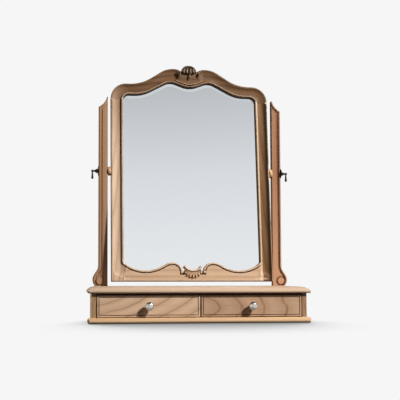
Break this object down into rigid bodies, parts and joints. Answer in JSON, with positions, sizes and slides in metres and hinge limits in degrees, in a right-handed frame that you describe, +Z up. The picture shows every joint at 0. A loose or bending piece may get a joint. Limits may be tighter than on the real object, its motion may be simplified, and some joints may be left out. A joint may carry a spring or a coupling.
{
  "type": "dressing table mirror",
  "caption": "Swing mirror for a dressing table: a carved, serpentine wooden frame with bevelled glass tilts between posts on a low base with drawers.",
  "frame": {"origin": "centre of the underside of the base", "axes": "+Z up, front towards -Y, +X to the right as seen from the front"},
  "size_m": [0.7006, 0.2327, 0.868],
  "materials": {
    "frame_wood": "satin, antiqued with a dark glaze in the hollows",
    "post_wood": "satin, antiqued",
    "base_wood": "satin, open grain",
    "drawer_front_wood": "satin, bold open grain",
    "drawer_box_wood": "plain planed wood",
    "carving": "dark antique glaze with worn highlights",
    "mirror_plate": "silvered, bevelled edge",
    "backing": "plain board",
    "bronze": "dark bronzed",
    "nickel": "polished",
    "brass_fittings": "satin",
    "steel_screws": "plain"
  },
  "bodies": {
    "base": {"base_top": "base_wood", "base_floor": "base_wood", "base_back": "base_wood", "base_divider": "base_wood", "top_strip": "base_wood", "drawer_kickers": "drawer_box_wood", "drawer_stops": "drawer_box_wood", "base_screws": "steel_screws", "post_screws": "steel_screws", "base_end_left": "base_wood", "base_end_right": "base_wood", "post_left": "post_wood", "post_right": "post_wood", "post_bush_left": "brass_fittings", "post_bush_right": "brass_fittings", "rosette_left": "bronze", "rosette_right": "bronze"},
    "mirror": {"top_rail": "frame_wood", "bottom_rail": "frame_wood", "frame_dowels": "drawer_box_wood", "crest_shell": "carving", "sill_shell": "carving", "mirror_glass": "mirror_plate", "backing_board": "backing", "backing_clips": "brass_fittings", "backing_clip_screws": "steel_screws", "pivot_plate_screws": "steel_screws", "stile_left": "frame_wood", "stile_right": "frame_wood", "pivot_plate_left": "brass_fittings", "pivot_plate_right": "brass_fittings", "spacer_left": "frame_wood", "spacer_right": "frame_wood"},
    "screw_left": {"mirror_screw_left": "bronze", "drop_pin_left": "bronze"},
    "drop_left": {"drop_handle_left": "bronze"},
    "drawer_left": {"drawer_front_left": "drawer_front_wood", "drawer_side_outer_left": "drawer_box_wood", "drawer_side_inner_left": "drawer_box_wood", "drawer_back_left": "drawer_box_wood", "drawer_bottom_left": "drawer_box_wood", "drawer_knob_left": "nickel", "drawer_knob_screw_left": "steel_screws"},
    "screw_right": {"mirror_screw_right": "bronze", "drop_pin_right": "bronze"},
    "drop_right": {"drop_handle_right": "bronze"},
    "drawer_right": {"drawer_front_right": "drawer_front_wood", "drawer_side_outer_right": "drawer_box_wood", "drawer_side_inner_right": "drawer_box_wood", "drawer_back_right": "drawer_box_wood", "drawer_bottom_right": "drawer_box_wood", "drawer_knob_right": "nickel", "drawer_knob_screw_right": "steel_screws"}
  },
  "joints": [
    {"name": "mirror_tilt", "type": "hinge", "parent": "base", "child": "mirror", "pos_m": [0, 0.0772, 0.496], "axis": [1, 0, 0], "range_deg": [-60, 60]},
    {"name": "left_screw_turn", "type": "hinge", "parent": "base", "child": "screw_left", "pos_m": [0, 0.0772, 0.496], "axis": [1, 0, 0], "continuous": true},
    {"name": "left_drop_swing", "type": "hinge", "parent": "screw_left", "child": "drop_left", "pos_m": [-0.3313, 0.0772, 0.496], "axis": [0, 1, 0], "range_deg": [0, 90]},
    {"name": "left_drawer_slide", "type": "slide", "parent": "base", "child": "drawer_left", "axis": [0, -1, 0], "range_m": [0, 0.11]},
    {"name": "right_screw_turn", "type": "hinge", "parent": "base", "child": "screw_right", "pos_m": [0, 0.0772, 0.496], "axis": [1, 0, 0], "continuous": true},
    {"name": "right_drop_swing", "type": "hinge", "parent": "screw_right", "child": "drop_right", "pos_m": [0.3313, 0.0772, 0.496], "axis": [0, -1, 0], "range_deg": [0, 90]},
    {"name": "right_drawer_slide", "type": "slide", "parent": "base", "child": "drawer_right", "axis": [0, -1, 0], "range_m": [0, 0.11]}
  ]
}
